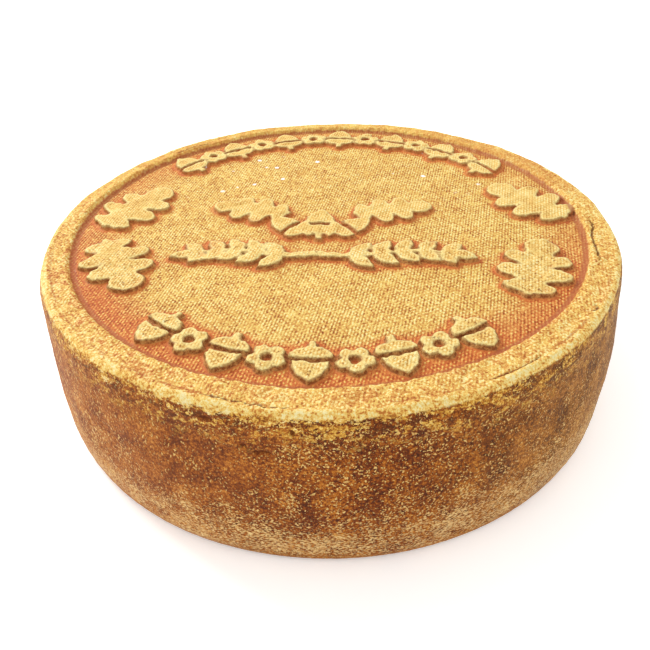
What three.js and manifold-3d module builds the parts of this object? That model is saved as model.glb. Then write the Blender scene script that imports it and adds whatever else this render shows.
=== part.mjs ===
// A round wheel of ripened cheese, pressed in a mould: a drum with a slightly bulging side, a raised flat
// rim round a sunken field, and a low relief of leaves, acorns and flowers on that field. Millimetres, +Z
// up, the origin at the centre of the face it rests on. It was moulded as one piece, so it is one mesh.
import * as THREE from "three";
import { mergeVertices } from "three/addons/utils/BufferGeometryUtils.js";
import Module from "manifold-3d";

const wheelRadius = 150; // at the widest part of the bulging side
const wheelHeight = 86; // up to the rim's flat top
const bottomRadius = 142.5; // edge of the flat resting face
const rimOuterRadius = 143; // where the rim's flat top turns down into the shoulder
const fieldRadius = 132; // foot of the step between the rim and the sunken field
const fieldDepth = 3; // of the field below the rim's top
const stepRun = 2; // width of the sloping step
const reliefHeight = 2.5; // of the ornaments over the field round them
const reliefRoot = 2; // how far an ornament reaches down into the cheese
const reliefShift = [-0.8, 4]; // the mould's plate sat a little off the drum's centre
const reliefTurn = -3.5; // and was turned by this many degrees
const drumSteps = 90; // segments round the drum
const leafSteps = 48; // along each edge of an oak leaf

const fieldLevel = wheelHeight - fieldDepth;
const degrees = THREE.MathUtils.degToRad;

const wasm = await Module();
wasm.setup();

// ---- solids ----

// A closed geometry as a manifold-3d solid, moved by a matrix.
function solidOf(geometry, matrix) {
  const bare = geometry.index ? geometry.toNonIndexed() : geometry.clone();
  bare.deleteAttribute("normal");
  bare.deleteAttribute("uv");
  bare.applyMatrix4(matrix);
  const merged = mergeVertices(bare, 1e-4);
  const mesh = new wasm.Mesh({
    numProp: 3,
    vertProperties: merged.attributes.position.array,
    triVerts: new Uint32Array(merged.index.array),
  });
  return new wasm.Manifold(mesh);
}

// A manifold-3d solid as a three.js geometry.
function geometryOf(solid) {
  const mesh = solid.getMesh();
  const geometry = new THREE.BufferGeometry();
  geometry.setAttribute("position", new THREE.BufferAttribute(new Float32Array(mesh.vertProperties), 3));
  geometry.setIndex(new THREE.BufferAttribute(new Uint32Array(mesh.triVerts), 1));
  geometry.computeVertexNormals();
  return geometry;
}

// A body of revolution about Z from [radius, height] points, from the axis upwards and back to the axis.
function turned(points, shift = [0, 0]) {
  const profile = points.map(([radius, height]) => new THREE.Vector2(radius, height));
  const place = new THREE.Matrix4().makeRotationX(Math.PI / 2).setPosition(shift[0], shift[1], 0);
  return solidOf(new THREE.LatheGeometry(profile, drumSteps), place);
}

// ---- the drum ----

// Flat foot, rounded lower edge, bulging side, rounded shoulder and flat top.
function drum() {
  const bend = [
    [bottomRadius, 0],
    [bottomRadius + 2.8, 1.2],
    [147.2, 5],
    [149, 16],
    [wheelRadius, 36],
    [149, 56],
    [147.6, 72],
    [147, 80],
    [rimOuterRadius + 2.6, wheelHeight - 1.6],
    [rimOuterRadius, wheelHeight],
  ];
  const curve = new THREE.SplineCurve(bend.map(([radius, height]) => new THREE.Vector2(radius, height)));
  const side = curve.getPoints(12).map((point) => [point.x, point.y]);
  return turned([[0, 0], ...side, [0, wheelHeight]]);
}

// What the sunken field takes out of the drum: a flat floor, a sloping step and open air over it.
function fieldCutter() {
  const air = 1;
  const lip = fieldRadius + stepRun * (1 + air / fieldDepth);
  const top = wheelHeight + air;
  return turned([[0, fieldLevel], [fieldRadius, fieldLevel], [lip, top], [0, top]], reliefShift);
}

// ---- flat outlines, each lying along +X from its own origin ----

// An oak leaf: one edge, from a short stalk through three lobes to a round tip, and the same mirrored.
function oakLeaf(length, width) {
  const half = [
    [0, 0.1],
    [0.03, 0.14],
    [0.05, 0.42],
    [0.1, 0.66],
    [0.16, 0.66],
    [0.21, 0.48],
    [0.22, 0.36],
    [0.26, 0.52],
    [0.3, 0.86],
    [0.37, 1],
    [0.44, 0.92],
    [0.48, 0.66],
    [0.48, 0.4],
    [0.52, 0.56],
    [0.56, 0.82],
    [0.63, 0.92],
    [0.7, 0.82],
    [0.73, 0.58],
    [0.73, 0.38],
    [0.78, 0.44],
    [0.84, 0.5],
    [0.9, 0.46],
    [0.95, 0.34],
    [0.99, 0.18],
    [1, 0],
  ];
  const knots = half.map(([along, reach]) => new THREE.Vector2(along * length, (reach * width) / 2));
  const edge = new THREE.SplineCurve(knots).getPoints(leafSteps);
  const mirrored = edge.slice(0, -1).map((point) => new THREE.Vector2(point.x, -point.y));
  return new THREE.Shape([...mirrored, ...edge.reverse()]);
}

// An acorn's cup with its short stalk.
function acornCup(length, width) {
  const half = width / 2;
  const stalk = 0.1 * width;
  const shape = new THREE.Shape();
  shape.moveTo(0, -stalk);
  shape.lineTo(length * 0.15, -stalk);
  shape.bezierCurveTo(length * 0.16, -half * 0.7, length * 0.24, -half, length * 0.42, -half);
  shape.quadraticCurveTo(length * 0.48, 0, length * 0.42, half);
  shape.bezierCurveTo(length * 0.24, half, length * 0.16, half * 0.7, length * 0.15, stalk);
  shape.lineTo(0, stalk);
  return shape;
}

// The nut that stands in that cup, ending in a blunt point.
function acornNut(length, width) {
  const half = width * 0.42;
  const root = length * 0.5;
  const shape = new THREE.Shape();
  shape.moveTo(root, -half);
  shape.bezierCurveTo(length * 0.78, -half, length * 0.9, -half * 0.5, length, 0);
  shape.bezierCurveTo(length * 0.9, half * 0.5, length * 0.78, half, root, half);
  shape.quadraticCurveTo(length * 0.56, 0, root, -half);
  return shape;
}

// A flower with round petals, and a round hollow in its middle.
function flower(radius, petals, hollow) {
  const rimSteps = petals * 6;
  const outline = Array.from({ length: rimSteps }, (_, index) => {
    const angle = (index / rimSteps) * 2 * Math.PI;
    const reach = radius * (0.7 + 0.3 * Math.abs(Math.cos((petals * angle) / 2)) ** 0.7);
    return new THREE.Vector2(reach * Math.cos(angle), reach * Math.sin(angle));
  });
  const shape = new THREE.Shape(outline);
  const hole = new THREE.Path().absarc(0, 0, hollow, 0, 2 * Math.PI, true);
  shape.holes.push(hole);
  return shape;
}

// A plain pointed leaflet.
function leaflet(length, width) {
  const shape = new THREE.Shape();
  shape.moveTo(0, 0);
  shape.quadraticCurveTo(length * 0.4, -width, length, 0);
  shape.quadraticCurveTo(length * 0.4, width, 0, 0);
  return shape;
}

// A narrow band along a curve, thinning towards its far end.
function twig(curve, width) {
  const steps = 12;
  const edge = (side) =>
    Array.from({ length: steps + 1 }, (_, index) => {
      const share = index / steps;
      const across = curve.getTangent(share).rotateAround(new THREE.Vector2(), Math.PI / 2);
      return curve.getPoint(share).addScaledVector(across, side * (width / 2) * (1 - 0.6 * share));
    });
  return new THREE.Shape([...edge(-1), ...edge(1).reverse()]);
}

// ---- the relief ----

// A raised ornament: a flat outline turned by some degrees and set at x, y on the field.
function raised(shape, x, y, turn) {
  const solid = new THREE.ExtrudeGeometry(shape, {
    depth: reliefRoot + reliefHeight,
    bevelEnabled: false,
    curveSegments: 4,
  });
  const place = new THREE.Matrix4()
    .makeRotationZ(degrees(reliefTurn))
    .setPosition(reliefShift[0], reliefShift[1], 0)
    .multiply(new THREE.Matrix4().makeTranslation(x, y, fieldLevel - reliefRoot))
    .multiply(new THREE.Matrix4().makeRotationZ(degrees(turn)));
  return solidOf(solid, place);
}

// The same, set on the ring at a distance and a bearing from the field's centre.
function raisedOnRing(shape, distance, bearing, turn) {
  const x = distance * Math.cos(degrees(bearing));
  const y = distance * Math.sin(degrees(bearing));
  return raised(shape, x, y, turn);
}

// Four oak leaves on the ring, two on each side.
function ringLeaves() {
  const leafLength = 53;
  const leafWidth = 36;
  const leaves = [
    { distance: 110, bearing: -158, turn: -61 },
    { distance: 109, bearing: 170, turn: 61 },
    { distance: 112, bearing: 14, turn: 132 },
    { distance: 110, bearing: -22, turn: 72 },
  ];
  return leaves.map(({ distance, bearing, turn }) => {
    const x = distance * Math.cos(degrees(bearing)) - (leafLength / 2) * Math.cos(degrees(turn));
    const y = distance * Math.sin(degrees(bearing)) - (leafLength / 2) * Math.sin(degrees(turn));
    return raised(oakLeaf(leafLength, leafWidth), x, y, turn);
  });
}

// A row of acorns with flowers between them, along the ring.
function border(middle, halfSpan, acorns) {
  const pitch = (2 * halfSpan) / (acorns - 1);
  const inner = 103;
  const acornLength = 26;
  const acornWidth = 19;
  const made = [];
  for (let index = 0; index < acorns; index += 1) {
    const bearing = middle - halfSpan + index * pitch;
    made.push(raisedOnRing(acornCup(acornLength, acornWidth), inner, bearing, bearing));
    made.push(raisedOnRing(acornNut(acornLength, acornWidth), inner, bearing, bearing));
    if (index < acorns - 1) {
      const between = bearing + pitch / 2;
      made.push(raisedOnRing(flower(8.8, 5, 2.6), inner + acornLength / 2, between, between));
    }
  }
  return made;
}

// The middle: acorns and oak leaves over two leafy branches, the same to the left and to the right.
function middleSpray() {
  const made = [raised(acornCup(32, 19), -4, -16, 90), raised(acornNut(32, 19), -4, -16, 90)];
  for (const side of [1, -1]) {
    const outwards = (degreesUp) => (side > 0 ? degreesUp : 180 - degreesUp);
    const branch = new THREE.CubicBezierCurve(
      new THREE.Vector2(-4, -31),
      new THREE.Vector2(-4 + side * 26, -37),
      new THREE.Vector2(-2 + side * 44, -21),
      new THREE.Vector2(-1 + side * 66, -31),
    );
    made.push(raised(twig(branch, 5), 0, 0, 0));
    const pairs = 5;
    for (let pair = 0; pair < pairs; pair += 1) {
      const share = 0.22 + (0.68 * pair) / (pairs - 1);
      const root = branch.getPoint(share);
      const bearing = THREE.MathUtils.radToDeg(branch.getTangent(share).angle());
      for (const lean of [46, -46]) {
        made.push(raised(leaflet(17 - pair, 9), root.x, root.y, bearing + lean));
      }
    }
    const tip = branch.getPoint(0.96);
    const tipBearing = THREE.MathUtils.radToDeg(branch.getTangent(0.96).angle());
    made.push(raised(leaflet(14, 8), tip.x, tip.y, tipBearing));
    made.push(raised(acornCup(29, 18), -4 + side * 4, -12, outwards(38)));
    made.push(raised(acornNut(29, 18), -4 + side * 4, -12, outwards(38)));
    made.push(raised(oakLeaf(44, 27), -4 + side * 17, 12, outwards(12)));
  }
  return made;
}

// ---- the wheel ----

const ornaments = [...ringLeaves(), ...border(-90.5, 36, 5), ...border(89, 50.5, 7), ...middleSpray()];
const wheelSolid = ornaments.reduce((whole, piece) => whole.add(piece), drum().subtract(fieldCutter()));

const rind = new THREE.MeshStandardMaterial({ color: 0xe0b066, roughness: 0.7, metalness: 0 });
const wheel = new THREE.Mesh(geometryOf(wheelSolid), rind);
wheel.name = "cheese_wheel";

const cheese = new THREE.Group();
cheese.add(wheel);
export default cheese;
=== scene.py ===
import math
from types import SimpleNamespace
import bpy
import numpy as np
from mathutils import Vector, Matrix, kdtree


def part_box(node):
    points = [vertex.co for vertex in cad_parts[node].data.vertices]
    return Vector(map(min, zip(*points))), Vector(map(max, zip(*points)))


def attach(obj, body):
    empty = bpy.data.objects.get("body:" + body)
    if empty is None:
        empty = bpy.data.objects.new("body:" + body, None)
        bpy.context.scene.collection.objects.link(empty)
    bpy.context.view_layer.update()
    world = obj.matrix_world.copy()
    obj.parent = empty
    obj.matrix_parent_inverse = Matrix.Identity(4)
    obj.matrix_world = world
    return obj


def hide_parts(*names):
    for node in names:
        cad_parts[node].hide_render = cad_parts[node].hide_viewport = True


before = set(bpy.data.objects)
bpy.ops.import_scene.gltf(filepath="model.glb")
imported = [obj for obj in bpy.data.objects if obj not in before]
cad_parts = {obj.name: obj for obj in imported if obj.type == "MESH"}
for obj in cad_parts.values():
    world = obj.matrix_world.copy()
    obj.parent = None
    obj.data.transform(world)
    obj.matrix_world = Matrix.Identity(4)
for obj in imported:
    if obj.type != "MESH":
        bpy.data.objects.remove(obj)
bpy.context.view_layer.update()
print("frame loaded:", sorted(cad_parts))

nodeName = "cheese_wheel"
lowCorner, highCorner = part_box(nodeName)
wheelTop = highCorner.z
wheelRadius = (highCorner.x - lowCorner.x) / 2
mm = 0.001


# camera, close over the front of the wheel
cameraPlan = {
    "distance": 0.4446,   # from the middle of the underside
    "elevation": 38.24,   # degrees over the table
    "roll": -1.43,
    "aimRight": -0.0088,  # share of the distance that the view is turned off the middle
    "aimUp": 0.039,
    "lens": 41.54,
}


def placeCamera():
    lift = math.radians(cameraPlan["elevation"])
    roll = math.radians(cameraPlan["roll"])
    back = Vector((0, -math.cos(lift), math.sin(lift)))
    up = Vector((1, 0, 0)).cross(-back)
    ahead = (-back + Vector((cameraPlan["aimRight"], 0, 0)) + up * cameraPlan["aimUp"]).normalized()
    right = ahead.cross(up).normalized()
    above = right.cross(ahead)
    turnedRight = right * math.cos(roll) + above * math.sin(roll)
    turnedUp = above * math.cos(roll) - right * math.sin(roll)
    turn = Matrix((turnedRight, turnedUp, -ahead)).transposed().to_4x4()
    bpy.ops.object.camera_add()
    camera = bpy.context.object
    camera.name = "tableCamera"
    camera.matrix_world = Matrix.Translation(back * cameraPlan["distance"]) @ turn
    camera.data.lens = cameraPlan["lens"]
    camera.data.sensor_width = 36
    camera.data.clip_start = 0.01
    bpy.context.scene.camera = camera


placeCamera()
print("camera placed")


# lights: a bright white room and one low window at the back left
lightPlan = {
    "room": 1.03,
    "window": {"place": (-1.0, 0.85, 1.0), "size": 0.55, "power": 19},
    "tableGlow": 0.27,   # the table is a lit white sheet
}


def addWindow(name, plan):
    bpy.ops.object.light_add(type="AREA", location=plan["place"])
    lamp = bpy.context.object
    lamp.name = name
    lamp.data.size = plan["size"]
    lamp.data.energy = plan["power"]
    aim = Vector((0, 0, 0.05)) - Vector(plan["place"])
    lamp.rotation_euler = aim.to_track_quat("-Z", "Y").to_euler()


def lightRoom():
    world = bpy.data.worlds.new("whiteRoom")
    world.use_nodes = True
    backdrop = world.node_tree.nodes["Background"]
    backdrop.inputs["Color"].default_value = (1, 0.995, 0.985, 1)
    backdrop.inputs["Strength"].default_value = lightPlan["room"]
    bpy.context.scene.world = world
    addWindow("windowLight", lightPlan["window"])
    bpy.context.scene.view_settings.view_transform = "Standard"


lightRoom()
print("lights placed")


# shader arithmetic
class Signal:
    # an output of a node; sums, products and so on of it add Math nodes
    def __init__(self, finish, socket):
        self.finish = finish
        self.socket = socket

    def work(self, operation, first, second):
        return self.finish.add("ShaderNodeMath", {"operation": operation}, {0: first, 1: second})

    def __add__(self, other):
        return self.work("ADD", self, other)

    def __radd__(self, other):
        return self.work("ADD", other, self)

    def __sub__(self, other):
        return self.work("SUBTRACT", self, other)

    def __rsub__(self, other):
        return self.work("SUBTRACT", other, self)

    def __mul__(self, other):
        return self.work("MULTIPLY", self, other)

    def __rmul__(self, other):
        return self.work("MULTIPLY", other, self)

    def __pow__(self, other):
        return self.work("POWER", self, other)


def tint(code, strength=(1, 1, 1)):
    # a colour written as in a paint program, as linear light; strength scales its red, green and blue
    parts = [int(code[i:i + 2], 16) / 255 for i in (0, 2, 4)]
    linear = [p / 12.92 if p <= 0.04045 else ((p + 0.055) / 1.055) ** 2.4 for p in parts]
    return (*[p * s for p, s in zip(linear, strength)], 1.0)


def shades(strength, colours):
    # one colour, or the places and colours of a ramp
    if isinstance(colours, str):
        return tint(colours, strength)
    return [(place, tint(code, strength)) for place, code in colours]


class Finish:
    # a material being built
    def __init__(self, name):
        self.material = bpy.data.materials.new(name)
        self.material.use_nodes = True
        self.tree = self.material.node_tree
        self.tree.nodes.clear()

    def add(self, kind, settings, inputs, output=0):
        node = self.tree.nodes.new(kind)
        for key, value in settings.items():
            if key == "stops":
                ramp = node.color_ramp
                while len(ramp.elements) < len(value):
                    ramp.elements.new(0.5)
                for element, (place, colour) in zip(ramp.elements, value):
                    element.position = place
                    element.color = colour
            else:
                setattr(node, key, value)
        for key, value in inputs.items():
            socket = node.inputs[key]
            if isinstance(value, Signal):
                self.tree.links.new(value.socket, socket)
            else:
                socket.default_value = value
        return None if output is None else Signal(self, node.outputs[output])

    def split(self, vector):
        node = self.add("ShaderNodeSeparateXYZ", {}, {0: vector}).socket.node
        return [Signal(self, node.outputs[i]) for i in range(3)]

    def vector(self, x, y, z):
        return self.add("ShaderNodeCombineXYZ", {}, {0: x, 1: y, 2: z})

    def fade(self, value, low, high):
        # 0 at low, 1 at high, smooth between them; low may be the larger
        return self.add("ShaderNodeMapRange", {"interpolation_type": "SMOOTHSTEP"},
                        {"Value": value, "From Min": low, "From Max": high})

    def wave(self, value):
        return self.add("ShaderNodeMath", {"operation": "COSINE"}, {0: value})

    def limit(self, value):
        return self.add("ShaderNodeMath", {"operation": "MULTIPLY", "use_clamp": True}, {0: value, 1: 1.0})

    def larger(self, first, second):
        return self.add("ShaderNodeMath", {"operation": "MAXIMUM"}, {0: first, 1: second})

    def noise(self, place, size, detail=2.0, rough=0.5, seed=0.0, warp=0.0):
        # cloudy value round 0.5; size is the width of its blotches in millimetres
        return self.add("ShaderNodeTexNoise", {"noise_dimensions": "4D"},
                        {"Vector": place, "W": seed, "Scale": 1 / size, "Detail": detail,
                         "Roughness": rough, "Distortion": warp})

    def swing(self, *settings):
        # the same round 0
        return self.noise(*settings) - 0.5

    def cells(self, place, size):
        # distance to the nearest of many scattered points
        return self.add("ShaderNodeTexVoronoi", {}, {"Vector": place, "Scale": 1 / size})

    def ramp(self, value, stops):
        return self.add("ShaderNodeValToRGB", {"stops": stops}, {0: value})

    def mix(self, share, first, second):
        # between two colours
        return self.add("ShaderNodeMix", {"data_type": "RGBA"}, {0: share, 6: first, 7: second}, 2)

    def blend(self, share, first, second):
        # between two numbers
        return self.add("ShaderNodeMix", {}, {0: share, 2: first, 3: second})

    def value(self, name):
        return self.add("ShaderNodeAttribute", {"attribute_name": name}, {}, "Fac")

    def close(self, shader):
        # the last node; gives the finished material
        self.add("ShaderNodeOutputMaterial", {}, {"Surface": shader}, None)
        return self.material


# the wheel itself
wheelPlan = {
    "voxel": 0.72 * mm,
    "triangles": 192000,
    "seed": 7,
    "plate": (-0.8 * mm, 4.0 * mm),   # middle of the sunken field
    "fieldRadius": 132 * mm,
    "fieldDepth": 3.0 * mm,
    "lipRadius": 144.1 * mm,          # of the pressed-out lip along the rim's edge
    "lipWidth": 2.0 * mm,
    "lipHeight": 0.5 * mm,
    "creaseInside": 2.6 * mm,         # from the lip to the crease on its inner side
    "creaseDepth": 0.45,              # in millimetres
    "underLipDrop": 4.6 * mm,         # from the rim's top to where the side draws in
    "underLipDepth": 0.3 * mm,
    "slowLumps": 0.35 * mm,
    "topLumps": 0.25 * mm,
    "smallLumps": 0.35 * mm,
    "outlinePlay": 0.22 * mm,
    "topWear": 0.3,                   # in millimetres
    # cracks in the rim: bearing in degrees and distance from the middle in millimetres
    "rimCracks": [
        {"path": [(2, 135.5), (0, 136.8), (-3, 136.6), (-6.5, 133.9), (-9, 133.8), (-13, 134.4), (-17, 135.8),
                  (-20, 136.5)], "width": 0.65 * mm, "depth": 1.1 * mm},
        {"path": [(-33.3, 139.3), (-35.4, 142), (-36.6, 140)], "width": 0.5 * mm, "depth": 0.7 * mm},
        {"path": [(-94, 141.8), (-100, 142.2), (-106, 141.6), (-113, 142)],
         "width": 0.4 * mm, "depth": 0.5 * mm},
        {"path": [(-52, 141.5), (-58, 141.9), (-66, 141.2)], "width": 0.4 * mm, "depth": 0.5 * mm},
        {"path": [(122, 138), (128, 139.5), (135, 138.6)], "width": 0.5 * mm, "depth": 0.8 * mm},
    ],
    # slits and holes in the side: bearing in degrees and height in millimetres
    "sideSlits": [
        {"path": [(-102.6, 66.6), (-101, 67.6), (-99.2, 67.4)], "width": 0.8 * mm, "depth": 1.3 * mm},
        {"path": [(-104.4, 69.9), (-103, 69.6)], "width": 0.7 * mm, "depth": 0.9 * mm},
        {"path": [(-96.6, 77.4), (-95.8, 77.6)], "width": 1.4 * mm, "depth": 1.7 * mm},
        {"path": [(-85.6, 76.2), (-84.8, 75.8)], "width": 1.0 * mm, "depth": 1.0 * mm},
        {"path": [(-111, 79), (-109.6, 79.6), (-108, 79.2)], "width": 0.8 * mm, "depth": 1.0 * mm},
        {"path": [(38, 71), (41, 71.6), (45, 71.2)], "width": 0.5 * mm, "depth": 0.9 * mm},
        {"path": [(150, 62), (153, 62.8), (155, 62.2)], "width": 0.6 * mm, "depth": 0.9 * mm},
    ],
}


def deselectAll():
    if bpy.context.object and bpy.context.object.mode != "OBJECT":
        bpy.ops.object.mode_set(mode="OBJECT")
    bpy.ops.object.select_all(action="DESELECT")


def makeActive(piece):
    deselectAll()
    piece.select_set(True)
    bpy.context.view_layer.objects.active = piece


def applyModifier(piece, name, kind, settings):
    makeActive(piece)
    modifier = piece.modifiers.new(name, kind)
    for key, value in settings.items():
        setattr(modifier, key, value)
    bpy.ops.object.modifier_apply(modifier=modifier.name)


def copyOfNode():
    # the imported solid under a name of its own, its loose triangles merged
    wheel = bpy.data.objects.new("cheeseWheel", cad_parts[nodeName].data.copy())
    bpy.context.collection.objects.link(wheel)
    makeActive(wheel)
    bpy.ops.object.mode_set(mode="EDIT")
    bpy.ops.mesh.select_all(action="SELECT")
    bpy.ops.mesh.remove_doubles(threshold=0.002 * mm)
    bpy.ops.object.mode_set(mode="OBJECT")
    return wheel


def readPoints(mesh):
    flat = np.zeros(len(mesh.vertices) * 3)
    mesh.vertices.foreach_get("co", flat)
    return flat.reshape(-1, 3)


def readNormals(mesh):
    flat = np.zeros(len(mesh.vertices) * 3)
    mesh.vertices.foreach_get("normal", flat)
    return flat.reshape(-1, 3)


def writePoints(mesh, points):
    mesh.vertices.foreach_set("co", points.ravel())
    mesh.update()


def reliefWalls(mesh):
    # points along the walls of the ornaments and along the foot of the rim, in plan
    walls = []
    low = wheelTop - wheelPlan["fieldDepth"]
    for face in mesh.polygons:
        level = abs(face.normal.z) < 0.3 and low - 0.1 * mm < face.center.z < wheelTop - 0.2 * mm
        if not level or math.hypot(face.center.x, face.center.y) > 140 * mm:
            continue
        corners = [mesh.vertices[i].co for i in face.vertices]
        for i, start in enumerate(corners):
            end = corners[(i + 1) % len(corners)]
            steps = max(1, int((end - start).xy.length / (0.5 * mm)))
            walls.extend((start.lerp(end, s / steps).xy for s in range(steps)))
    return np.unique(np.round(np.array([tuple(w) for w in walls]), 5), axis=0)


def waver(bearing, seed, slowest, fastest, fall=0.5):
    # a closed wandering line round the wheel, about -1 to 1
    dice = np.random.default_rng(seed)
    total = np.zeros_like(bearing)
    weight = 0
    for turns in range(slowest, fastest + 1):
        share = (slowest / turns) ** fall
        total += share * np.sin(turns * bearing + dice.uniform(0, 2 * np.pi))
        weight += share ** 2
    return total / math.sqrt(weight)


def lumps(points, seed, size, count=24):
    # smooth swellings of about this width, about -1 to 1
    dice = np.random.default_rng(seed)
    total = np.zeros(len(points))
    for _ in range(count):
        way = dice.normal(size=3)
        way /= np.linalg.norm(way)
        length = size * dice.uniform(1.5, 3.5)
        total += np.sin(points @ way * (2 * np.pi / length) + dice.uniform(0, 2 * np.pi))
    return total / math.sqrt(count / 2)


def nearPath(flat, path, width):
    # 1 on a drawn line, falling off over its width and towards both its ends
    closest = np.full(len(flat), 1e9)
    along = np.zeros(len(flat))
    lengths = [np.linalg.norm(np.subtract(path[i + 1], path[i])) for i in range(len(path) - 1)]
    walked = 0
    for i, length in enumerate(lengths):
        start = np.array(path[i])
        way = (np.array(path[i + 1]) - start) / length
        t = np.clip((flat - start) @ way, 0, length)
        gap = np.linalg.norm(flat - start - t[:, None] * way, axis=1)
        near = gap < closest
        closest = np.where(near, gap, closest)
        along = np.where(near, (walked + t) / sum(lengths), along)
        walked += length
    taper = np.clip(np.minimum(along, 1 - along) * 6, 0.15, 1)
    return np.exp(-(closest / (width * taper)) ** 2) * taper


def rimPath(path):
    return [(d * mm * math.cos(math.radians(b)), d * mm * math.sin(math.radians(b))) for b, d in path]


def sidePath(path):
    return [(math.radians(b) * wheelRadius, h * mm) for b, h in path]


def carveCracks(points, bearing, radius):
    # how deep each point lies in a crack, 0 to 1, and by how much it sinks
    inCrack = np.zeros(len(points))
    sink = np.zeros(len(points))
    wander = 0.25 * mm * lumps(points, 31, 1.6 * mm)[:, None]
    for crack in wheelPlan["rimCracks"]:
        part = np.flatnonzero(points[:, 2] > wheelTop - 3 * mm)
        near = nearPath(points[part, :2] + wander[part], rimPath(crack["path"]), crack["width"])
        inCrack[part] = np.maximum(inCrack[part], near)
        sink[part] = np.maximum(sink[part], near * crack["depth"])
    flat = np.stack([bearing * wheelRadius, points[:, 2]], axis=1)
    for slit in wheelPlan["sideSlits"]:
        part = np.flatnonzero((radius > 0.95 * wheelRadius) & (points[:, 2] < wheelTop - 3 * mm))
        near = nearPath(flat[part] + wander[part], sidePath(slit["path"]), slit["width"])
        inCrack[part] = np.maximum(inCrack[part], near)
        sink[part] = np.maximum(sink[part], near * slit["depth"])
    return inCrack, sink


def pressedLip(height, radius, bearing, nearTop):
    # how far the lip rises, the crease inside it sinks, and the side draws in under it
    lipLine = wheelPlan["lipRadius"] + 0.45 * mm * waver(bearing, 3, 5, 40)
    lipLift = wheelPlan["lipHeight"] * np.clip(0.9 + 0.35 * waver(bearing, 4, 4, 60, 0.6), 0.2, 1.6)
    lip = np.exp(-((radius - lipLine) / wheelPlan["lipWidth"]) ** 2) * nearTop * lipLift
    crease = np.exp(-((radius - lipLine + wheelPlan["creaseInside"]) / (0.6 * mm)) ** 2) * nearTop
    crease *= np.clip(waver(bearing, 5, 3, 24), 0, 1) * wheelPlan["creaseDepth"] * mm
    drop = height - wheelTop + wheelPlan["underLipDrop"] - 0.7 * mm * waver(bearing, 6, 6, 70)
    underLip = np.exp(-(drop / (1.1 * mm)) ** 2)
    patchy = np.clip(0.6 + 0.6 * waver(bearing, 8, 5, 60), 0, 1.6)
    underLip *= (radius > 0.97 * wheelRadius) * wheelPlan["underLipDepth"] * patchy
    return lip, crease, underLip


def wearRelief(points, inField):
    # the ornaments' outlines play a little, and their tops dip here and there
    for axis in (0, 1):
        flat = points * (1, 1, 0)
        points[:, axis] += wheelPlan["outlinePlay"] * inField * lumps(flat, 41 + axis, 1.7 * mm, 40)
    onRelief = np.clip((points[:, 2] - wheelTop + 1.6 * mm) / (0.8 * mm), 0, 1) * inField
    dips = np.clip(lumps(points * (1, 1, 0), 44, 2.4 * mm, 40), -0.3, 1.5)
    points[:, 2] -= onRelief * wheelPlan["topWear"] * mm * dips


def sculpt(wheel):
    # moved points: the lip along the rim, the shadow line under it, slow lumps, wear and cracks
    mesh = wheel.data
    points = readPoints(mesh)
    normals = readNormals(mesh)
    radius = np.hypot(points[:, 0], points[:, 1])
    bearing = np.arctan2(points[:, 1], points[:, 0])
    outward = np.stack([np.cos(bearing), np.sin(bearing), np.zeros(len(points))], axis=1)
    upward = np.array([0, 0, 1.0])
    offFloor = np.clip((points[:, 2] - 1.5 * mm) / (6 * mm), 0, 1)[:, None]
    nearTop = np.clip((points[:, 2] - (wheelTop - 5 * mm)) / (3 * mm), 0, 1)
    lip, crease, underLip = pressedLip(points[:, 2], radius, bearing, nearTop)

    slow = wheelPlan["slowLumps"] * lumps(points, wheelPlan["seed"], 22 * mm)
    onSide = np.clip((radius - 0.955 * wheelRadius) / (4 * mm), 0, 1)
    points = points + outward * (slow * onSide)[:, None] * offFloor
    swell = wheelPlan["topLumps"] * lumps(points, 9, 16 * mm) * (1 - onSide) * nearTop
    points = points + upward * swell[:, None]
    points = points + upward * (lip - crease)[:, None] + outward * (0.4 * lip - underLip)[:, None]
    wearRelief(points, np.clip((142 * mm - radius) / (3 * mm), 0, 1) * nearTop)

    _, sink = carveCracks(points, bearing, radius)
    writePoints(mesh, points - normals * sink[:, None])


def roughen(wheel):
    # small lumps over the side and rim, finer ones on the field
    mesh = wheel.data
    points = readPoints(mesh)
    plate = wheelPlan["plate"]
    fromPlate = np.hypot(points[:, 0] - plate[0], points[:, 1] - plate[1])
    top = points[:, 2] > wheelTop - 4 * mm
    share = np.where(top & (fromPlate < wheelPlan["fieldRadius"] + 1 * mm), 0.3, 1.0)
    share *= np.clip((points[:, 2] - 0.8 * mm) / (4 * mm), 0, 1)
    group = wheel.vertex_groups.new(name="rough")
    for level in (0.25, 0.5, 0.75, 1.0):
        chosen = np.flatnonzero((share > level - 0.25) & (share <= level))
        group.add(chosen.tolist(), level, "REPLACE")
    clouds = bpy.data.textures.new("rindClouds", "CLOUDS")
    clouds.noise_scale = 3.2 * mm
    clouds.noise_depth = 2
    applyModifier(wheel, "Roughen", "DISPLACE", {
        "texture": clouds, "texture_coords": "LOCAL", "strength": wheelPlan["smallLumps"],
        "mid_level": 0.5, "vertex_group": "rough"})
    wheel.vertex_groups.clear()


def blurred(grid, spread):
    # a Gaussian blur by way of frequencies
    rows = np.fft.fftfreq(grid.shape[0])[:, None]
    columns = np.fft.fftfreq(grid.shape[1])[None]
    filterShare = np.exp(-2 * (np.pi * spread) ** 2 * (rows ** 2 + columns ** 2))
    return np.fft.ifft2(np.fft.fft2(grid) * filterShare).real


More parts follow.
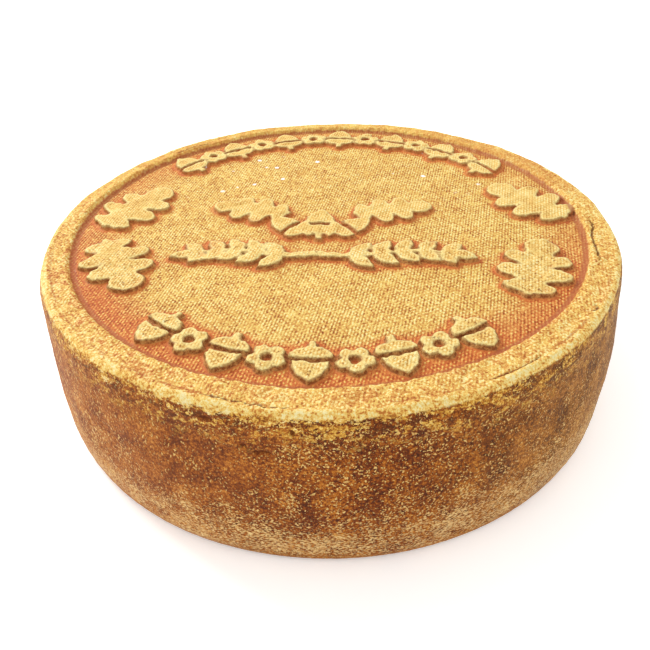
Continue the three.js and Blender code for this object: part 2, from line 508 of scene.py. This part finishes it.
def paintHints(wheel, walls):
    # values that the finish reads: how near an ornament's wall is, how enclosed a place is, and cracks
    mesh = wheel.data
    points = readPoints(mesh)
    radius = np.hypot(points[:, 0], points[:, 1])
    bearing = np.arctan2(points[:, 1], points[:, 0])
    tree = kdtree.KDTree(len(walls))
    for i, (x, y) in enumerate(walls):
        tree.insert((x, y, 0), i)
    tree.balance()
    gap = np.full(len(points), 40.0)
    for i in np.flatnonzero((points[:, 2] > wheelTop - 5 * mm) & (radius < 142 * mm)):
        gap[i] = tree.find((points[i, 0], points[i, 1], 0))[2] / mm

    cell = 1 * mm
    side = 320
    grid = np.zeros((side, side))
    spots = np.floor(walls / cell + side / 2).astype(int)
    np.add.at(grid, (spots[:, 0], spots[:, 1]), 1)
    grid = np.minimum(grid, 2)
    wide = blurred(grid, 6.0)
    at = np.clip(np.floor(points[:, :2] / cell + side / 2).astype(int), 0, side - 1)
    enclosed = wide[at[:, 0], at[:, 1]] / wide.max()

    inCrack, _ = carveCracks(points, bearing, radius)
    for name, values in (("wallGap", gap), ("enclosed", enclosed), ("inCrack", inCrack)):
        layer = mesh.attributes.new(name, "FLOAT", "POINT")
        layer.data.foreach_set("value", values.astype(np.float32))


def unwrap(wheel):
    # the map that the baked finish uses: the top disc, four lengths of the side, and the underside smaller
    mesh = wheel.data
    points = readPoints(mesh)
    radius = np.hypot(points[:, 0], points[:, 1])
    bearing = np.arctan2(points[:, 1], points[:, 0])
    corners = np.zeros(len(mesh.loops), int)
    mesh.loops.foreach_get("vertex_index", corners)
    faceOf = np.repeat(np.arange(len(mesh.polygons)), [len(p.vertices) for p in mesh.polygons])
    middle = np.zeros((len(mesh.polygons), 3))
    np.add.at(middle, faceOf, points[corners])
    middle /= np.bincount(faceOf)[:, None]
    normals = np.zeros(len(mesh.polygons) * 3)
    mesh.polygons.foreach_get("normal", normals)
    facing = normals.reshape(-1, 3)[:, 2]
    middleRadius = np.hypot(middle[:, 0], middle[:, 1])
    onTop = (middle[:, 2] > wheelTop - 8 * mm) & ((facing > 0.6) | (middleRadius < 0.95 * wheelRadius))
    under = (middle[:, 2] < 3 * mm) & (facing < -0.8)
    scale = 1 / (482 * mm)                   # this much of the surface spans the whole map
    topMiddle = 0.3125                       # places on the map, as shares of its width
    underMiddle = np.array([0.3125, 0.81])
    underShare = 0.58                        # the underside is drawn this much smaller
    sideStart = (0.632, 0.004)
    sideStep = (0.187, 0.5)                  # from one length of the side to the next
    sideShare = 0.98
    uv = np.zeros((len(corners), 2))

    spot = points[corners]
    face = onTop[faceOf]
    uv[face] = spot[face, :2] * scale + topMiddle
    face = under[faceOf]
    uv[face] = spot[face, :2] * scale * underShare + underMiddle

    face = ~(onTop | under)[faceOf]
    middleBearing = np.arctan2(middle[:, 1], middle[:, 0])[faceOf[face]]
    turned = (bearing[corners[face]] - middleBearing + np.pi) % (2 * np.pi) - np.pi + middleBearing
    quarter = np.clip(np.floor((middleBearing + np.pi) / (np.pi / 2)), 0, 3)
    run = (turned + np.pi - quarter * np.pi / 2) * wheelRadius * scale
    rise = spot[face, 2] * scale + (wheelRadius - radius[corners[face]]) * scale * 0.5
    uv[face, 0] = sideStart[0] + (quarter % 2) * sideStep[0] + rise * sideShare
    uv[face, 1] = sideStart[1] + np.floor(quarter / 2) * sideStep[1] + run * sideShare
    layer = mesh.uv_layers.new(name="OFBake")
    layer.data.foreach_set("uv", uv.astype(np.float32).ravel())


def buildWheel():
    wheel = copyOfNode()
    walls = reliefWalls(wheel.data)
    print("walls sampled:", len(walls))
    applyModifier(wheel, "Even", "REMESH", {"mode": "VOXEL", "voxel_size": wheelPlan["voxel"]})
    print("even mesh:", len(wheel.data.vertices))
    applyModifier(wheel, "Soften", "SMOOTH", {"factor": 0.5, "iterations": 3})
    sculpt(wheel)
    roughen(wheel)
    print("sculpted")
    triangles = sum(len(p.vertices) - 2 for p in wheel.data.polygons)
    applyModifier(wheel, "Thin", "DECIMATE", {"ratio": wheelPlan["triangles"] / triangles})
    print("thinned to", len(wheel.data.polygons))
    paintHints(wheel, walls)
    unwrap(wheel)
    for face in wheel.data.polygons:
        face.use_smooth = True
    wheel.data.materials.clear()
    return wheel


wheel = buildWheel()
print("wheel built")


# the rind's finish; sizes in millimetres
rindPlan = {
    "warpPitch": 1.475,      # between threads of the cloth imprint
    "weftPitch": 1.267,
    "clothTurn": -13.0,      # degrees
    "weaveDepth": 0.13,
    "grainDepth": 0.22,
    "fleckDepth": 0.28,
    "fleckStart": 0.565,     # cloudiness at which a pale fleck begins; less gives more flecks
    "mouldDrop": 22.0,       # how far the yellow mould comes down from the top
    "fieldEdge": 132.4,      # radius of the sunken field
    "grooveStart": 129.2,    # radius of the smooth band at its edge
    "ringStart": 98.0,       # radius from which the field is stained
    "creaseRadius": 141.2,
    "crestRadius": 142.7,
    "topStrength": (0.78, 0.74, 0.6),   # how much red, green and blue the top and the side give back
    "sideStrength": (0.78, 0.66, 0.42),
    "saltWhite": (0.88, 0.88, 0.86, 1),   # linear light
    # colours: one, or a ramp from the darkest to the palest
    "shades": {
        "field": ((0.0, "965224"), (0.25, "CA8A48"), (0.5, "E6BA6A"), (0.75, "F5DC88"), (1.0, "FFF6BE")),
        "stain": ((0.0, "9C4A24"), (0.28, "C46436"), (0.55, "D98048"), (0.8, "EBA45C"), (1.0, "FAD884")),
        "relief": ((0.0, "A86E38"), (0.25, "D6A65C"), (0.5, "EFCB7E"), (0.75, "F9E09A"), (1.0, "FFF8CC")),
        "pit": "8A5A30",
        # a painted highlight near the ornaments' edges
        "edgeHighlight": "FFF2B4",
        "brink": "A06A36",
        # the walls' dark colour is partly painted shade
        "wallDarkAndShade": "71421F",
        "wallPale": "D0A468",
        "grooveDark": "A24E2E",
        "groovePale": "C07650",
        "rim": ((0.0, "AE6A34"), (0.3, "DA9A52"), (0.52, "EABB6A"), (0.75, "F6D980"), (1.0, "FFF6C0")),
        "rimStain": ((0.0, "9A4A24"), (0.4, "C47038"), (0.75, "E2A058"), (1.0, "FBE09A")),
        "crest": ((0.0, "C67C38"), (0.3, "F2C268"), (0.6, "FCE18E"), (1.0, "FFF6C8")),
        "crease": "B0592C",
        "smudge": "6E4420",
        "side": ((0.0, "4A2004"), (0.3, "733506"), (0.55, "9F5A12"), (0.8, "C48030"), (1.0, "E6AE58")),
        # the right and left ramps hold painted sheen as well as the rind's colour
        "sideRightWithSheen": ((0.0, "64400E"), (0.5, "AC7C3A"), (1.0, "E0B678")),
        "sideLeftWithSheen": ((0.0, "924E24"), (0.5, "CA8244"), (1.0, "F0C082")),
        "fleck": "D6A05A",
        "paleFleck": "FFEEB8",
        "paleLowFleck": "FFF2D0",
        "mould": ((0.0, "8A5A1E"), (0.4, "C8923C"), (0.75, "EBC468"), (1.0, "FFECA4")),
        "bare": "5E3410",
        "crestPatch": ((0.0, "A86E2C"), (0.35, "ECC068"), (0.65, "FFE89C"), (1.0, "FFFCE0")),
        "footDark": "A86C2C",
        "footPale": "D8A258",
        # painted contact shade at the table
        "contactShade": "4A2E12",
        "underside": ((0.0, "8A5423"), (0.5, "BB7F3E"), (1.0, "DDAE6A")),
        # partly painted shade in the cracks
        "crack": "6A3414",
    },
}


def topShade(name):
    return shades(rindPlan["topStrength"], rindPlan["shades"][name])


def sideShade(name):
    return shades(rindPlan["sideStrength"], rindPlan["shades"][name])


def findPlaces(rind):
    # where on the wheel a point lies; most of these are shares from 0 to 1
    at = SimpleNamespace(top=wheelTop / mm)
    objectPlace = rind.add("ShaderNodeTexCoord", {}, {}, "Object")
    at.spot = rind.add("ShaderNodeVectorMath", {"operation": "SCALE"}, {0: objectPlace, "Scale": 1 / mm})
    at.x, at.y, at.z = rind.split(at.spot)
    at.radius = (at.x * at.x + at.y * at.y) ** 0.5
    fieldX = at.x - wheelPlan["plate"][0] / mm
    fieldY = at.y - wheelPlan["plate"][1] / mm
    at.fieldRadius = (fieldX * fieldX + fieldY * fieldY) ** 0.5
    at.wallGap = rind.value("wallGap")
    at.enclosed = rind.value("enclosed")
    at.inCrack = rind.value("inCrack")
    at.banded = rind.vector(at.x * 0.6, at.y * 0.6, at.z * 1.25)   # stretches a pattern level

    at.wobble = rind.swing(at.spot, 5.0, 3.0, 0.6, 1.0)
    at.worn = rind.swing(at.spot, 11.0, 4.0, 0.6, 4.0)
    at.speckle = rind.swing(at.spot, 1.1, 2.0, 0.7, 7.0)
    at.fine = rind.noise(at.spot, 1.5, 3.0, 0.7, 21.0)

    edge = rindPlan["fieldEdge"]
    groove = rindPlan["grooveStart"]
    at.nearTop = rind.fade(at.z, at.top - 5, at.top - 4)
    at.inField = rind.fade(at.fieldRadius + at.wobble * 0.8, edge + 1.0, edge) * at.nearTop
    at.raised = rind.fade(at.z, at.top - 1.9, at.top - 0.9) * at.inField
    at.wall = rind.fade(at.wallGap, 1.3, 0.5) * rind.fade(at.z, at.top - 3.1, at.top - 2.5)
    at.wall = at.wall * rind.fade(at.z, at.top - 0.6, at.top - 1.4) * at.inField
    at.groove = rind.fade(at.fieldRadius + at.wobble * 1.5, groove, groove + 1.4)
    at.groove = at.groove * rind.fade(at.fieldRadius, edge + 1.0, edge + 0.2)
    at.front = rind.fade(at.y, 40.0, -80.0)
    at.left = rind.fade(at.x, 10.0, -120.0)
    at.lower = rind.fade(at.z + at.wobble * 12.0, 56.0, 10.0)
    at.underside = rind.fade(at.z, 0.5, 0.1)
    withinRim = rind.fade(at.radius, 142.0, 140.0) * at.nearTop
    at.upward = rind.larger(rind.fade(at.z + at.wobble * 1.5, at.top - 2.6, at.top - 1.4), withinRim)
    return at


def pressCloth(rind, at):
    # the imprint of the cloth, and the grain between its threads
    turn = math.radians(rindPlan["clothTurn"])
    clothX = at.x * math.cos(turn) + at.y * math.sin(turn)
    clothY = at.y * math.cos(turn) - at.x * math.sin(turn)
    slack = rind.noise(at.spot, 9.0, 2.0, 0.5, 2.0) * 1.8
    across = clothX * (2 * math.pi / rindPlan["warpPitch"]) + slack
    along = clothY * (2 * math.pi / rindPlan["weftPitch"]) + slack * 0.7
    checks = rind.wave((across + along) * 0.5) + rind.wave((across - along) * 0.5)
    weave = rind.wave(across) * 0.62 + checks * 0.27 + rind.wave(along) * 0.1
    at.weave = weave * (rind.fade(rind.noise(at.spot, 6.0, 3.0, 0.6, 22.0), 0.3, 0.6) * 0.65 + 0.35)
    at.pressed = rind.fade(at.wallGap, 0.7, 2.6)   # the cloth never reached right up to the ornaments
    threadPlace = rind.vector(clothX, clothY * 0.6, 0.0)
    crossing = rind.add("ShaderNodeTexVoronoi", {"voronoi_dimensions": "2D"},
                        {"Vector": threadPlace, "Scale": 1.3}, "Color")
    at.crossing = rind.split(crossing)[0] - 0.5
    at.grain = rind.swing(at.spot, 1.1, 2.0, 0.75, 3.0) + at.crossing * 0.22
    threads = at.weave * at.pressed * 0.38 + at.grain * (0.8 + at.pressed) + at.worn * 0.6
    at.threads = rind.limit(threads + 0.53)


def fieldColour(rind, at):
    # the sunken field, stained orange along its edge and between the ornaments
    ring = rind.fade(at.fieldRadius + at.wobble * 10.0, rindPlan["ringStart"], rindPlan["ringStart"] + 32.0)
    halo = rind.fade(at.wallGap + at.wobble * 1.5, 3.9, 0.6)
    stain = halo * 0.95 + rind.fade(at.enclosed, 0.16, 0.6) * (0.4 + at.front * 0.5)
    stain = stain + ring * (0.4 + at.front * 0.6 + at.left * 0.3) + at.worn * 0.7 - 0.06
    plain = rind.ramp(at.threads, topShade("field"))
    stained = rind.ramp(at.threads, topShade("stain"))
    return rind.mix(rind.limit(stain), plain, stained)


def reliefColour(rind, at):
    # the ornaments' tops, with a painted highlight near their edges, pits and browned brinks
    tone = at.weave * 0.33 + at.grain * (0.9 + at.front * 0.9) + at.worn + 0.53
    colour = rind.ramp(rind.limit(tone), topShade("relief"))
    pits = rind.fade(rind.noise(at.spot, 1.4, 2.0, 0.6, 5.0), 0.4, 0.33) * (0.1 + at.front * 0.8)
    colour = rind.mix(pits, colour, topShade("pit"))
    # painted highlight: a pale band just inside the ornaments' edges
    paintedEdgeHighlight = rind.fade(at.wallGap + at.grain * 1.5, 2.2, 1.0) * 0.55
    colour = rind.mix(paintedEdgeHighlight, colour, topShade("edgeHighlight"))
    brink = rind.fade(at.wallGap + at.grain * 1.4, 0.75, 0.35) * 0.55
    return rind.mix(brink, colour, topShade("brink"))


def plateColour(rind, at):
    # all that the mould's plate pressed: field, ornaments, their walls and the groove round it; the walls'
    # darkening is partly dirt and partly painted shade
    colour = rind.mix(at.raised, fieldColour(rind, at), reliefColour(rind, at))
    chalky = rind.fade(rind.noise(at.spot, 1.8, 3.0, 0.7, 27.0), 0.42, 0.62)
    wallDirtAndShade = rind.mix(chalky, topShade("wallDarkAndShade"), topShade("wallPale"))
    # walls darkened, more towards the front: partly dirt, partly painted shade
    colour = rind.mix(at.wall * (0.42 + at.front * 0.33), colour, wallDirtAndShade)
    grooveColour = rind.mix(at.fine, topShade("grooveDark"), topShade("groovePale"))
    return rind.mix(at.groove * 0.72, colour, grooveColour)


def rimColour(rind, at):
    patches = rind.fade(rind.noise(at.spot, 5.5, 4.0, 0.65, 6.0), 0.47, 0.6)
    patches = patches * (at.front * 0.4 + at.left * 0.5 + 0.1)
    backRight = rind.fade(at.x, 40.0, 110.0) * rind.fade(at.y, 10.0, 60.0)
    contrast = 1.5 + rind.fade(at.y, 90.0, 0.0) * 1.3
    tone = (at.speckle + at.crossing * 0.1) * contrast + at.weave * (0.06 + at.front * 0.16)
    tone = rind.limit(tone + at.worn * 0.9 + 0.59)
    plain = rind.ramp(tone, topShade("rim"))
    return rind.mix(rind.limit(patches + backRight * 0.45), plain, rind.ramp(tone, topShade("rimStain")))


def findCrest(rind, at):
    # the pale worn edge, which runs down the side in ragged patches
    wear = rind.swing(at.spot, 8.0, 4.0, 0.65, 28.0)
    start = rindPlan["crestRadius"]
    at.crest = rind.fade(at.radius + at.wobble * 1.8 + wear * 4.0, start, start + 0.9)
    at.crestTone = rind.limit(at.speckle * 3.2 + at.wobble * 1.2 + wear * 1.4 + 0.52)
    ragged = rind.noise(at.banded, 4.0, 5.0, 0.75, 23.0) - 0.46
    reach = 0.9 + at.front * rind.fade(at.x, 90.0, -30.0) * ragged * 46.0
    at.crestPatches = rind.fade(at.top - at.z, reach, reach - 0.9) * rind.fade(at.z, at.top - 14, at.top - 9)


def topColour(rind, at):
    colour = rind.mix(at.inField, rimColour(rind, at), plateColour(rind, at))
    colour = rind.mix(at.crest * 0.9, colour, rind.ramp(at.crestTone, topShade("crest")))
    fromCrease = rind.add("ShaderNodeMath", {"operation": "ABSOLUTE"},
                          {0: at.radius + at.wobble * 2.4 - rindPlan["creaseRadius"]})
    broken = rind.fade(rind.noise(at.spot, 16.0, 2.0, 0.5, 24.0), 0.47, 0.57) * (at.front * 0.45 + 0.1)
    return rind.mix(rind.fade(fromCrease, 0.8, 0.15) * broken, colour, topShade("crease"))


def bareSideColour(rind, at):
    # dark and oily in front, golden brown to the right, paler and pinker to the left; the right and left are
    # partly the rind's own colour and partly painted sheen
    mottle = rind.swing(at.spot, 13.0, 4.0, 0.62, 8.0, 0.3)
    sideGrain = rind.swing(at.spot, 1.3, 3.0, 0.8, 9.0)
    tone = rind.limit(mottle * 1.5 + sideGrain * 2.8 + at.lower * 0.15 + 0.36)
    # lighter to the right: partly golden rind, partly painted sheen
    goldenAndSheen = rind.fade(at.x, 20.0, 130.0) * 0.75
    colour = rind.mix(goldenAndSheen, rind.ramp(tone, sideShade("side")), rind.ramp(tone, sideShade("sideRightWithSheen")))
    # paler to the left: partly the rind's colour, partly painted sheen
    return rind.mix(at.left * 0.6, colour, rind.ramp(tone, sideShade("sideLeftWithSheen")))


def scatterFlecks(rind, at):
    # pale flecks: upright on the left, dots in front, level dashes low down and on the right
    upright = rind.noise(rind.vector(at.x, at.y, at.z * 0.55), 0.85, 1.0, 0.6, 11.0)
    dots = rind.noise(at.spot, 0.9, 1.0, 0.6, 25.0)
    level = rind.noise(rind.vector(at.x * 0.6, at.y * 0.6, at.z * 1.5), 0.85, 1.0, 0.6, 12.0)
    levelShare = rind.limit(at.lower * 0.8 + rind.fade(at.x, 30.0, 130.0) * 0.5)
    cloud = rind.blend(levelShare, rind.blend(at.left, dots, upright), level)
    crowd = rind.swing(at.spot, 9.0, 4.0, 0.65, 13.0)
    plenty = crowd * 0.32 + at.lower * 0.105 - at.left * 0.005 - 0.015 - rind.fade(at.z, 9.0, 3.0) * 0.05
    start = rindPlan["fleckStart"]
    at.flecks = rind.fade(cloud + plenty, start, start + 0.05) * (1 - rind.limit(at.inCrack * 2.0))


def fleckColour(rind, at):
    palest = rind.mix(at.lower, sideShade("paleFleck"), sideShade("paleLowFleck"))
    return rind.mix(rind.limit(at.fine * 2.4 - 0.7), sideShade("fleck"), palest)


def sideColour(rind, at):
    colour = rind.mix(at.flecks * 0.95, bareSideColour(rind, at), fleckColour(rind, at))
    # yellow mould and bare dark gaps in the uppermost part
    mould = rind.noise(at.banded, 5.0, 5.0, 0.75, 10.0)
    mouldEnd = at.top - rindPlan["mouldDrop"]
    yellow = rind.fade(mould + at.speckle * 0.35, 0.53, 0.57)
    yellow = yellow * rind.fade(at.z + at.wobble * 16.0, mouldEnd, at.top - 5.0) * (0.45 + at.front * 0.5)
    yellowTone = rind.limit(at.speckle * 3.4 + 0.5)
    colour = rind.mix(yellow, colour, rind.ramp(yellowTone, sideShade("mould")))
    bare = rind.fade(mould, 0.47, 0.4) * rind.fade(at.z, mouldEnd + 4.0, at.top - 8.0) * at.front
    colour = rind.mix(bare * 0.7, colour, sideShade("bare"))
    colour = rind.mix(at.crestPatches * 0.9, colour, rind.ramp(at.crestTone, sideShade("crestPatch")))
    # paler towards the table, partly the rind's colour and partly painted light thrown up from the table, and
    # painted shade right at it
    foot = rind.fade(at.z + at.wobble * 6.0, 9.0, 2.0)
    footAndBounceColour = rind.mix(at.fine, sideShade("footDark"), sideShade("footPale"))
    # paler foot: partly the rind's colour, partly painted light from the table
    colour = rind.mix(foot * 0.5, colour, footAndBounceColour)
    # painted contact shade: a dark band where the side meets the table
    paintedContactShade = rind.fade(at.z + at.wobble, 1.7, 0.5) * 0.6
    return rind.mix(paintedContactShade, colour, sideShade("contactShade"))


def sprinkle(rind, at, colour):
    # white specks of dried salt behind the middle, and dark smudges at the right
    openField = (1 - at.raised) * at.inField
    stir = rind.add("ShaderNodeTexNoise", {}, {"Vector": at.spot, "Scale": 0.9}, "Color")
    stirred = rind.add("ShaderNodeVectorMath", {"operation": "ADD"}, {0: at.spot, 1: stir})
    saltArea = rind.fade(at.y, 34.0, 60.0) * rind.fade(at.y, 100.0, 90.0)
    saltArea = saltArea * rind.fade(at.radius, 118.0, 108.0) * openField
    salt = rind.fade(rind.cells(stirred, 12.0), 0.15, 0.08) * saltArea
    colour = rind.mix(salt, colour, rindPlan["saltWhite"])
    smudge = rind.fade(rind.noise(at.spot, 3.0, 3.0, 0.6, 26.0), 0.52, 0.64)
    smudge = smudge * rind.fade(at.x, 92.0, 104.0) * rind.fade(at.y, 2.0, 10.0)
    smudge = smudge * rind.fade(at.y, 30.0, 20.0) * openField
    return rind.mix(smudge * 0.8, colour, topShade("smudge"))


def wholeColour(rind, at):
    colour = rind.mix(at.upward, sideColour(rind, at), topColour(rind, at))
    colour = rind.mix(at.underside, colour, rind.ramp(at.threads, sideShade("underside")))
    # darker in the cracks and slits: partly brown rind, partly painted shade
    colour = rind.mix(rind.fade(at.inCrack, 0.15, 0.75) * 0.8, colour, sideShade("crack"))
    return sprinkle(rind, at, colour)


def surfaceBumps(rind, at, matt):
    clothed = (1 - at.groove) * (at.nearTop * (1 - at.crest) + at.underside) * (1 - at.raised * 0.7)
    clothHeight = at.weave * at.pressed * clothed * rindPlan["weaveDepth"]
    clothHeight = clothHeight * (1 - rind.fade(at.fieldRadius, 132, 134) * 0.6)
    grainHeight = rind.blend(at.upward, at.speckle, at.grain) * rindPlan["grainDepth"]
    grainHeight = grainHeight * (1 - at.groove * 0.8)
    sideHeight = (at.flecks * 0.8 + matt * 0.8) * (1 - at.upward) * rindPlan["fleckDepth"]
    return rind.add("ShaderNodeBump", {}, {
        "Strength": 1.0, "Distance": mm, "Height": clothHeight + grainHeight + sideHeight}, "Normal")


def rindFinish():
    rind = Finish("wheelRind")
    at = findPlaces(rind)
    pressCloth(rind, at)
    findCrest(rind, at)
    scatterFlecks(rind, at)
    matt = rind.swing(at.spot, 1.6, 3.0, 0.7, 14.0)
    return rind.close(rind.add("ShaderNodeBsdfPrincipled", {}, {
        "Base Color": wholeColour(rind, at),
        "Roughness": 0.66 - at.flecks * 0.12 - matt * 0.3 - at.groove * 0.12,
        "Normal": surfaceBumps(rind, at, matt),
        "Specular IOR Level": 0.15}))


wheel.data.materials.append(rindFinish())
print("rind finished")


def layFloor():
    bpy.ops.mesh.primitive_plane_add(size=12, location=(0, 0, -0.3 * mm))   # a hair under the rind
    floor = bpy.context.object
    floor.name = "paleTable"
    table = Finish("palePaint")
    floor.data.materials.append(table.close(table.add("ShaderNodeBsdfPrincipled", {}, {
        "Base Color": (0.96, 0.96, 0.96, 1), "Roughness": 0.9, "Specular IOR Level": 0.1,
        "Emission Color": (1, 1, 1, 1), "Emission Strength": lightPlan["tableGlow"]})))


layFloor()
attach(wheel, "root")
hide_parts(nodeName)
